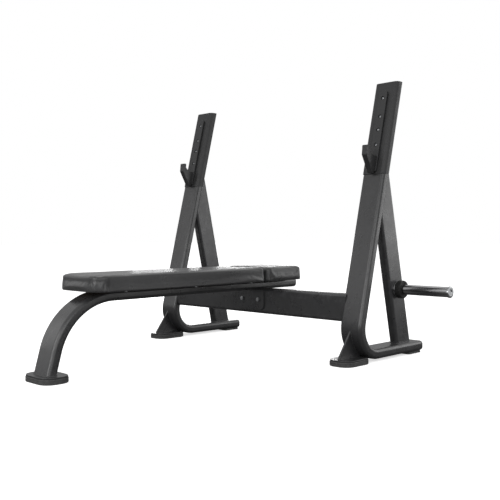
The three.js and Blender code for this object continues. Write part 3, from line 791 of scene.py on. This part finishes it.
# ---------------------------------------------------------------- saddle and fasteners
def hex_head(name, radius, start, end, chamfer_at_start=True):
    """A hexagon head with its free face chamfered."""
    head = hexagon(name, radius, start, end)
    flat = radius * math.cos(math.pi / 6)
    drop = (radius - flat) * 0.6
    free, fixed = (start, end) if chamfer_at_start else (end, start)
    inward = 1 if chamfer_at_start else -1
    profile = [(0, free), (flat * 0.97, free), (radius + 0.001, free + inward * (drop + 0.001)),
               (radius + 0.001, fixed + inward * 0.001), (0, fixed + inward * 0.001)]
    return combined(head, [lathe("chamfer", profile)], "INTERSECT")


def make_saddle():
    holes_x = span("right_saddle_bolt")[2].x
    hole_z = span("right_saddle_bolt")[2].z
    for where in ("front", "rear"):
        low, high, middle, size = span(f"saddle_{where}_plate")
        outline = rounded_rectangle(size.x, size.z, 0.026, 0.006, steps=10)
        faces = [[Vector((p.x, y, middle.z + p.y)) for p in outline] for y in (low.y, high.y)]
        plate = softened(loft(f"saddle_{where}_cheek", faces), 0.0009, 2)
        for x in (-holes_x, holes_x):
            combined(plate, [moved(rod("hole", 0.0064, -FAR, FAR), Matrix.Translation((x, 0, hole_z)))])
        put(plate, "frame", f"saddle_{where}_plate")
        outer_y = low.y if where == "front" else high.y
        reach = SPINE["width"] / 2 - 0.012
        seam = [Vector((-reach, outer_y, high.z)), Vector((reach, outer_y, high.z))]
        put(bead(f"saddle_{where}_weld", evenly(seam, WELD_STEP), 0.0026), "frame")
    low, high = span("right_saddle_bolt")[:2]
    nut_low, nut_high = span("right_saddle_nut")[0].y, span("right_saddle_nut")[1].y
    head_end = span("saddle_front_plate")[0].y - GAP
    head = hex_head("head", 0.010, low.y, head_end)
    shank = softened(rod("shank", 0.006, head_end - 0.001, high.y), 0.0008, 2)
    bolt = combined(head, [shank], "UNION")
    nut = hex_head("nut", 0.010, nut_low, nut_high, False)
    combined(nut, [rod("bore", 0.0063, nut_low - 0.01, nut_high + 0.01)])
    for side, sign in SIDES.items():
        at = Matrix.Translation((sign * holes_x, 0, hole_z))
        put(copied(bolt, f"{side}_saddle_hex_bolt", at), "zinc_fastener", f"{side}_saddle_bolt")
        put(copied(nut, f"{side}_saddle_hex_nut", at), "zinc_fastener", f"{side}_saddle_nut")
    bpy.data.objects.remove(bolt)
    bpy.data.objects.remove(nut)


def make_pad_mounts():
    stand = Matrix.Rotation(math.pi / 2, 4, "X")
    for k in range(1, 5):
        low, high, middle, size = span(f"pad_crossbar_{k}")
        bar = prism(f"pad_bracket_{k}", rounded_rectangle(size.x, size.y, 0.008, steps=8), low.z, high.z)
        moved(bar, Matrix.Translation((0, middle.y, 0)))
        softened(bar, 0.0006, 2)
        bolt_x = span(f"right_pad_bolt_{k}")[2].x
        for x in (-bolt_x, bolt_x):
            combined(bar, [moved(rod("hole", 0.0044, 0, 1), Matrix.Translation((x, middle.y, 0)) @ stand)])
        put(bar, "frame", f"pad_crossbar_{k}")
        seams = []
        for sign in (-1, 1):
            x = sign * (SPINE["width"] / 2 - 0.011)
            ends = [Vector((x, middle.y + e * (size.y / 2), low.z - 0.0005)) for e in (-0.8, 0.8)]
            seams.append(bead(f"bracket_seam_{k}", evenly(ends, WELD_STEP), 0.002))
        put(combined(seams[0], seams[1:], "UNION"), "frame")
        for side in SIDES:
            bottom, tip, axis = span(f"{side}_pad_bolt_{k}")[:3]
            head = hex_head("head", 0.0065, bottom.z, low.z - GAP)
            shank = softened(rod("shank", 0.004, low.z - 0.001, tip.z, 32), 0.0006, 2)
            bolt = combined(head, [shank], "UNION")
            at = Matrix.Translation((axis.x, axis.y, 0)) @ stand
            put(copied(bolt, f"{side}_pad_hex_bolt_{k}", at), "zinc_fastener", f"{side}_pad_bolt_{k}")
            bpy.data.objects.remove(bolt)


# ---------------------------------------------------------------- welds between the tubes
def make_welds():
    turned = {"width": TUBE["depth"], "depth": TUBE["width"]}
    y = brace_y(RAIL_TOP)
    base = [Vector((p.x, y + p.y / math.cos(BRACE_LEAN), RAIL_TOP)) for p in tube_section(turned)]
    put_both(bead("weld", evenly(base, WELD_STEP, True), 0.0028, True), "brace_foot_weld", "frame")
    front_plane = ONTO_UPRIGHT @ Vector((0, TUBE["depth"] / 2, 0))
    normal = ONTO_UPRIGHT.to_3x3() @ Vector((0, 1, 0))
    axis = ONTO_BRACE.to_3x3() @ Vector((0, 0, 1))
    seam = []
    for p in tube_section(turned, steps=12):
        start = ONTO_BRACE @ Vector((p.x, p.y, 0))
        seam.append(start + axis * ((front_plane - start).dot(normal) / axis.dot(normal)))
    count = len(seam)
    first = max(range(count), key=lambda i: seam[i].z)
    seam = [seam[(first + i) % count] for i in range(count)] + [seam[first]]
    seam = [p for p in evenly(seam, WELD_STEP) if p.z < COVER[0].z - 0.004]
    put_both(bead("weld", seam, 0.0026), "brace_head_weld", "frame")
    foot, along = spine_stations()[-1]
    ring = []
    for p in tube_section(SPINE):
        start = foot + Vector((p.x, 0, 0)) + Vector((0, along.z, -along.y)) * p.y
        ring.append(start + along * ((FOOT_TOP - start.z) / along.z))
    put(bead("leg_foot_weld", evenly(ring, WELD_STEP, True), 0.003, True), "frame")


# ---------------------------------------------------------------- upholstery
def pad_outline(node, inset=0.0, steps=14):
    """A pad's plan about its own middle; the foot end of the main pad is rounder."""
    middle, size = span(node)[2:]
    front = PAD_FRONT_CORNER if node == "main_pad" else PAD_REAR_CORNER
    rear = PAD_REAR_CORNER
    width, length = size.x - 2 * inset, size.y - 2 * inset
    points = rounded_rectangle(width, length, max(front - inset, 0.004), max(rear - inset, 0.004), steps)
    return [p + Vector((middle.x, middle.y)) for p in points]


def cushion_form(node, shrink):
    """The cushion before it swells: upright sides, a rounded top edge and a tighter bottom edge."""
    low, high = span(node)[:2]
    shoulder = high.z - shrink - PAD_EDGE
    layers = []
    for i in range(4):
        angle = math.pi / 2 * i / 3
        layers.append((shrink + PAD_FOOT * (1 - math.sin(angle)), low.z + PAD_FOOT * (1 - math.cos(angle))))
    for i in range(6):
        angle = math.pi / 2 * i / 5
        layers.append((shrink + PAD_EDGE * (1 - math.cos(angle)), shoulder + PAD_EDGE * math.sin(angle)))
    rings = []
    for inset, z in layers:
        rings.append([Vector((p.x, p.y, z)) for p in pad_outline(node, inset)])
    return loft(node + "_form", rings)


def swell(obj, node, cap):
    """Cloth under pressure, held at its underside; no point travels further than the cap."""
    low = span(node)[0]
    remesh = obj.modifiers.new("remesh", "REMESH")
    remesh.mode = "VOXEL"
    remesh.voxel_size = CLOTH_VOXEL
    applied(obj)
    rest = [v.co.copy() for v in obj.data.vertices]
    held = obj.vertex_groups.new(name="held")
    held.add([i for i, p in enumerate(rest) if p.z < low.z + 0.007], 1.0, "REPLACE")
    cloth = obj.modifiers.new("cloth", "CLOTH")
    cloth.settings.use_pressure = True
    cloth.settings.uniform_pressure_force = 4.0
    cloth.settings.effector_weights.gravity = 0.0
    cloth.settings.vertex_group_mass = "held"
    cloth.settings.tension_stiffness = 25.0
    cloth.settings.bending_stiffness = 2.0
    scene = bpy.context.scene
    for step in range(1, 21):
        scene.frame_set(step)
    applied(obj)
    scene.frame_set(1)
    for vertex, start in zip(obj.data.vertices, rest):
        travel = vertex.co - start
        if travel.length > cap:
            vertex.co = start + travel * (cap / travel.length)
    return obj


def wrinkle(obj, node):
    """Small gathers where the vinyl turns under at the corners."""
    low, _, middle, size = span(node)
    corners = [(size.x / 2 - 0.03, -size.y / 2 + 0.03), (size.x / 2 - 0.02, size.y / 2 - 0.02)]
    for vertex in obj.data.vertices:
        offset = vertex.co - middle
        for x, y in corners:
            outward = Vector((abs(offset.x) - x, (offset.y - y) * (1 if y > 0 else -1)))
            if outward.x > 0 and outward.y > 0:
                angle = math.atan2(outward.y, outward.x)
                depth = max(0.0, 1 - (vertex.co.z - low.z) / 0.022)
                gather = 0.0007 * depth * depth * math.sin(angle * 26) * math.sin(2 * angle)
                way = Vector((math.copysign(outward.x, offset.x), math.copysign(outward.y, y), 0))
                vertex.co += way.normalized() * gather
    return obj


def make_boards():
    stand = Matrix.Rotation(math.pi / 2, 4, "X")
    for node, bars in (("main_pad", (1, 2, 3)), ("head_pad", (4,))):
        low, high = span(f"{node}_board")[:2]
        board = prism(f"{node}_plywood", pad_outline(node, BOARD_INSET), low.z, high.z)
        softened(board, 0.0006, 2)
        holes = []
        for k in bars:
            for side in SIDES:
                bolt = span(f"{side}_pad_bolt_{k}")[2]
                at = Matrix.Translation((bolt.x, bolt.y, 0)) @ stand
                holes.append(moved(rod("hole", 0.0043, 0.1, low.z + 0.011), at))
        combined(board, holes)
        put(board, "pad_board", f"{node}_board")


def make_pads():
    for node in ("main_pad", "head_pad"):
        bottom, board_top = span(node)[0].z, span(f"{node}_board")[1].z
        pad = swell(cushion_form(node, 0.002), node, 0.0035)
        wrinkle(pad, node)
        subdivision = pad.modifiers.new("smooth", "SUBSURF")
        subdivision.levels = subdivision.render_levels = 1
        applied(pad)
        plan = pad_outline(node, BOARD_INSET - BOARD_CLEARANCE)
        combined(pad, [prism("pocket", plan, bottom - 0.02, board_top + BOARD_CLEARANCE)])
        pad.name = f"{node}_cushion"
        put(pad, "pad_vinyl", node, angle=50)


def make_staples():
    """Staples in one row round the underside of each board, except beside the crossbars."""
    bars = [span(f"pad_crossbar_{k}")[2].y for k in range(1, 5)]
    for node in ("main_pad", "head_pad"):
        underside = span(f"{node}_board")[0].z
        path = [Vector((p.x, p.y, underside)) for p in pad_outline(node, BOARD_INSET + 0.007)]
        spots = evenly(path, 0.024, True)
        staples = []
        for i, spot in enumerate(spots):
            if any(abs(spot.y - y) < STAPLE_REACH for y in bars):
                continue
            along = (spots[(i + 1) % len(spots)] - spots[i - 1]).normalized()
            across = Vector((along.y, -along.x, 0))
            wire = [spot + along * s for s in (-0.005, -0.0025, 0.0, 0.0025, 0.005)]
            rings = []
            for p in wire:
                ring = [(-0.0006, -0.0005), (0.0006, -0.0005), (0.0006, 0.0002), (-0.0006, 0.0002)]
                rings.append([p + across * a + Vector((0, 0, b - GAP)) for a, b in ring])
            staples.append(loft("staple", rings))
        merged = joined(f"{node}_staples", staples)
        put(merged, "zinc_fastener")


def joined(name, objects):
    """Several separate solids as one piece."""
    work = bmesh.new()
    for obj in objects:
        work.from_mesh(obj.data)
    mesh = bpy.data.meshes.new(name)
    work.to_mesh(mesh)
    work.free()
    for obj in objects:
        bpy.data.objects.remove(obj)
    made = bpy.data.objects.new(name, mesh)
    bpy.context.scene.collection.objects.link(made)
    return made


# ---------------------------------------------------------------- studio
CAMERA = {
    "place": (2.4229, -2.1477, 0.5425), "azimuth": 44.3625, "pitch": 1.2815, "roll": -0.112,
    "sensor_width": 36.0, "lens": 53.01504,
}
WORLD_FADE = {"From Min": -0.3, "From Max": 0.6, "To Min": 0.03, "To Max": 0.73}
FLOOR_BOUNCE = 0.12
FLOOR_GLOW = 0.6
HIGH_BOX = {"elevation": 12, "distance": 3.4, "size": (1.7, 1.7)}
LOW_BOX = {"elevation": -2, "distance": 3.2, "size": (1.8, 0.7)}
BOX_AIM = Vector((0.1, 0.1, 0.5))
SOFT_BOXES = {
    "side_box": (HIGH_BOX, 60, 13), "far_foot_box": (HIGH_BOX, 220, 7), "foot_box": (HIGH_BOX, 270, 30),
    "key_box": (HIGH_BOX, 310, 17), "near_side_box": (HIGH_BOX, 340, 13), "rim_box": (LOW_BOX, 30, 4.5),
    "rear_side_strip": (LOW_BOX, 60, 3), "rear_strip": (LOW_BOX, 135, 20),
}


def make_camera():
    azimuth, pitch, roll = (math.radians(CAMERA[turn]) for turn in ("azimuth", "pitch", "roll"))
    data = bpy.data.cameras.new("camera")
    data.sensor_width = CAMERA["sensor_width"]
    data.lens = CAMERA["lens"]
    data.clip_start, data.clip_end = 0.05, 60.0
    camera = bpy.data.objects.new("camera", data)
    bpy.context.scene.collection.objects.link(camera)
    camera.location = CAMERA["place"]
    right = Vector((math.cos(azimuth), math.sin(azimuth), 0))
    ahead = Vector((-math.sin(azimuth), math.cos(azimuth), 0))
    look = ahead * math.cos(pitch) - Vector((0, 0, math.sin(pitch)))
    up = right.cross(look)
    turned_right = right * math.cos(roll) + up * math.sin(roll)
    turned_up = up * math.cos(roll) - right * math.sin(roll)
    camera.rotation_mode = "QUATERNION"
    camera.rotation_quaternion = Matrix((turned_right, turned_up, -look)).transposed().to_quaternion()
    bpy.context.scene.camera = camera


def soft_box(name, box, azimuth, power):
    """A soft box on a circle round the object, facing it and unseen by the camera."""
    data = bpy.data.lights.new(name, "AREA")
    data.shape = "RECTANGLE"
    data.size, data.size_y = box["size"]
    data.energy = power
    around, rise = math.radians(azimuth), math.radians(box["elevation"])
    way = Vector((math.cos(around) * math.cos(rise), math.sin(around) * math.cos(rise), math.sin(rise)))
    light = bpy.data.objects.new(name, data)
    bpy.context.scene.collection.objects.link(light)
    light.location = BOX_AIM + way * box["distance"]
    light.rotation_mode = "QUATERNION"
    light.rotation_quaternion = (-way).to_track_quat("-Z", "Y")
    light.visible_camera = False


def make_world():
    """White behind the object; as a light it is bright overhead and fades towards the floor."""
    world = bpy.data.worlds.new("studio")
    world.use_nodes = True
    tree = world.node_tree
    background = tree.nodes["Background"]
    background.inputs["Color"].default_value = (1, 1, 1, 1)
    place = tree.nodes.new("ShaderNodeTexCoord").outputs["Generated"]
    split = tree.nodes.new("ShaderNodeSeparateXYZ")
    tree.links.new(place, split.inputs[0])
    fade = tree.nodes.new("ShaderNodeMapRange")
    fade.interpolation_type = "SMOOTHSTEP"
    for socket, value in WORLD_FADE.items():
        fade.inputs[socket].default_value = value
    tree.links.new(split.outputs["Z"], fade.inputs["Value"])
    seen = tree.nodes.new("ShaderNodeLightPath").outputs["Is Camera Ray"]
    choose = tree.nodes.new("ShaderNodeMix")
    choose.inputs[3].default_value = 1.0
    tree.links.new(seen, choose.inputs[0])
    tree.links.new(fade.outputs["Result"], choose.inputs[2])
    tree.links.new(choose.outputs[0], background.inputs["Strength"])
    bpy.context.scene.world = world


def make_floor():
    """A pale paper floor that looks white and gives little light back to the object."""
    floor = block("floor", (-30, -30, -0.05), (30, 30, 0.0))
    paper = Shader("floor_paper", (0.9, 0.9, 0.9), 0.95)
    grain = paper.spread(paper.noise(1.2, 2.0), 0.0, 1.0)
    white = paper.mix(grain, (0.93, 0.93, 0.93), (0.95, 0.95, 0.95))
    seen = paper.node("LightPath").outputs["Is Camera Ray"]
    paper.color(paper.mix(seen, (FLOOR_BOUNCE,) * 3, white))
    paper.set(paper.surface, "Emission Color", (1, 1, 1, 1))
    paper.set(paper.surface, "Emission Strength", paper.times(seen, FLOOR_GLOW))
    floor.data.materials.append(paper.material)


def make_studio():
    make_world()
    make_floor()
    bpy.context.scene.view_settings.view_transform = "Standard"
    for name, box in SOFT_BOXES.items():
        soft_box(name, *box)


make_camera()
make_studio()
make_frame_tubes()
make_feet()
make_caps()
make_gussets()
make_rack_covers()
make_bar_catches()
make_catch_bolts()
make_horns()
make_saddle()
make_pad_mounts()
make_welds()
make_boards()
make_pads()
make_staples()
